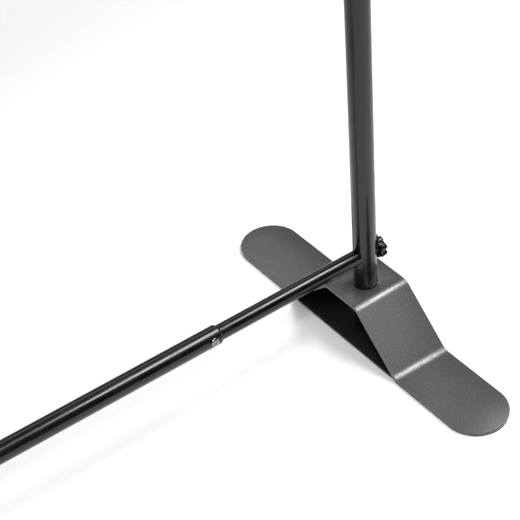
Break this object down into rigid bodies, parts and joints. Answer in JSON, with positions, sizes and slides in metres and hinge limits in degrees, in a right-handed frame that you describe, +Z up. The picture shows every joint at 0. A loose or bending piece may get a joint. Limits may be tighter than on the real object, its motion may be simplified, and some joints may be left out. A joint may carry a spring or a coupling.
{
  "type": "music stand",
  "caption": "Wide music stand with folded steel feet, telescopic columns and crossbar, and a tilting desk on a clamped rail.",
  "frame": {"origin": "on the floor, under the middle of the stand", "axes": "+X along the crossbar to the right-hand column, +Y away from the reader, +Z up"},
  "size_m": [0.9244, 0.496, 1.1792],
  "materials": {
    "graphite_coat": "graphite grey fine-texture powder coat",
    "black_gloss_coat": "gloss black baked enamel",
    "black_coat": "satin black powder coat",
    "black_plastic": "moulded black polyamide",
    "black_rubber": "matte black rubber sheet",
    "zinc_steel": "bright zinc plated steel"
  },
  "bodies": {
    "left_base": {"foot_plate_left": "graphite_coat", "foot_bridge_left": "black_coat", "foot_pad_front_left": "black_rubber", "foot_pad_back_left": "black_rubber", "base_screw_left": "zinc_steel", "column_left": "black_gloss_coat", "column_plug_left": "zinc_steel", "crossbar_rod_left": "black_gloss_coat", "rod_insert_left": "zinc_steel", "knob_spacer_left": "black_plastic", "height_collar_left": "black_plastic"},
    "crossbar_middle": {"crossbar_sleeve": "black_gloss_coat", "sleeve_screw_left": "zinc_steel", "sleeve_screw_right": "zinc_steel"},
    "right_base": {"foot_plate_right": "graphite_coat", "foot_bridge_right": "black_coat", "foot_pad_front_right": "black_rubber", "foot_pad_back_right": "black_rubber", "base_screw_right": "zinc_steel", "column_right": "black_gloss_coat", "column_plug_right": "zinc_steel", "crossbar_rod_right": "black_gloss_coat", "rod_insert_right": "zinc_steel", "knob_spacer_right": "black_plastic", "height_collar_right": "black_plastic"},
    "left_riser": {"riser_left": "black_gloss_coat", "riser_glide_left": "black_plastic", "head_clamp_left": "black_coat"},
    "left_rail": {"rail_rod_left": "black_gloss_coat", "rail_cap_left": "black_plastic"},
    "left_crossbar_knob": {"crossbar_knob_left": "black_plastic", "crossbar_stud_left": "zinc_steel"},
    "left_height_knob": {"height_knob_left": "black_plastic", "height_stud_left": "zinc_steel"},
    "left_tilt_knob": {"tilt_knob_left": "black_plastic", "tilt_stud_left": "zinc_steel"},
    "right_riser": {"riser_right": "black_gloss_coat", "riser_glide_right": "black_plastic", "head_clamp_right": "black_coat"},
    "right_rail": {"rail_rod_right": "black_gloss_coat", "rail_cap_right": "black_plastic"},
    "right_crossbar_knob": {"crossbar_knob_right": "black_plastic", "crossbar_stud_right": "zinc_steel"},
    "right_height_knob": {"height_knob_right": "black_plastic", "height_stud_right": "zinc_steel"},
    "right_tilt_knob": {"tilt_knob_right": "black_plastic", "tilt_stud_right": "zinc_steel"},
    "desk": {"rail_sleeve": "black_gloss_coat", "rail_screw_left": "zinc_steel", "rail_screw_right": "zinc_steel", "desk_panel": "graphite_coat", "ledge_liner": "black_rubber", "desk_channel": "graphite_coat", "desk_bracket_left": "black_coat", "desk_bracket_right": "black_coat", "bracket_screw_upper_left": "zinc_steel", "bracket_screw_upper_right": "zinc_steel", "bracket_screw_lower_left": "zinc_steel", "bracket_screw_lower_right": "zinc_steel"}
  },
  "joints": [
    {"name": "left_width", "type": "slide", "parent": "left_base", "child": "crossbar_middle", "axis": [1, 0, 0], "range_m": [-0.045, 0.06]},
    {"name": "right_width", "type": "slide", "parent": "crossbar_middle", "child": "right_base", "axis": [1, 0, 0], "range_m": [-0.045, 0.06]},
    {"name": "left_height", "type": "slide", "parent": "left_base", "child": "left_riser", "axis": [0, 0, 1], "range_m": [-0.15, 0.22]},
    {"name": "right_height", "type": "slide", "parent": "right_base", "child": "right_riser", "axis": [0, 0, 1], "range_m": [-0.15, 0.22]},
    {"name": "tilt", "type": "hinge", "parent": "left_riser", "child": "left_rail", "pos_m": [-0.4205, 0, 0.98], "axis": [1, 0, 0], "range_deg": [-60, 30]},
    {"name": "rail_left_width", "type": "slide", "parent": "left_rail", "child": "desk", "axis": [1, 0, 0], "range_m": [-0.045, 0.06]},
    {"name": "rail_right_width", "type": "slide", "parent": "desk", "child": "right_rail", "axis": [1, 0, 0], "range_m": [-0.045, 0.06]},
    {"name": "left_crossbar_knob_turn", "type": "hinge", "parent": "left_base", "child": "left_crossbar_knob", "pos_m": [-0.442, 0, 0.1213], "axis": [-1, 0, 0], "range_deg": [0, 360]},
    {"name": "left_height_knob_turn", "type": "hinge", "parent": "left_base", "child": "left_height_knob", "pos_m": [-0.4523, 0, 0.63115], "axis": [-1, 0, 0], "range_deg": [0, 360]},
    {"name": "left_tilt_knob_turn", "type": "hinge", "parent": "left_riser", "child": "left_tilt_knob", "pos_m": [-0.4205, 0.0318, 0.98], "axis": [0, 1, 0], "range_deg": [0, 360]},
    {"name": "right_crossbar_knob_turn", "type": "hinge", "parent": "right_base", "child": "right_crossbar_knob", "pos_m": [0.442, 0, 0.1213], "axis": [1, 0, 0], "range_deg": [0, 360]},
    {"name": "right_height_knob_turn", "type": "hinge", "parent": "right_base", "child": "right_height_knob", "pos_m": [0.4523, 0, 0.63115], "axis": [1, 0, 0], "range_deg": [0, 360]},
    {"name": "right_tilt_knob_turn", "type": "hinge", "parent": "right_riser", "child": "right_tilt_knob", "pos_m": [0.4205, 0.0318, 0.98], "axis": [0, 1, 0], "range_deg": [0, 360]}
  ],
  "couplings": [
    {"joint": "right_width", "follows": "left_width", "ratio": 1},
    {"joint": "rail_left_width", "follows": "left_width", "ratio": 1},
    {"joint": "rail_right_width", "follows": "left_width", "ratio": 1},
    {"joint": "right_height", "follows": "left_height", "ratio": 1}
  ]
}
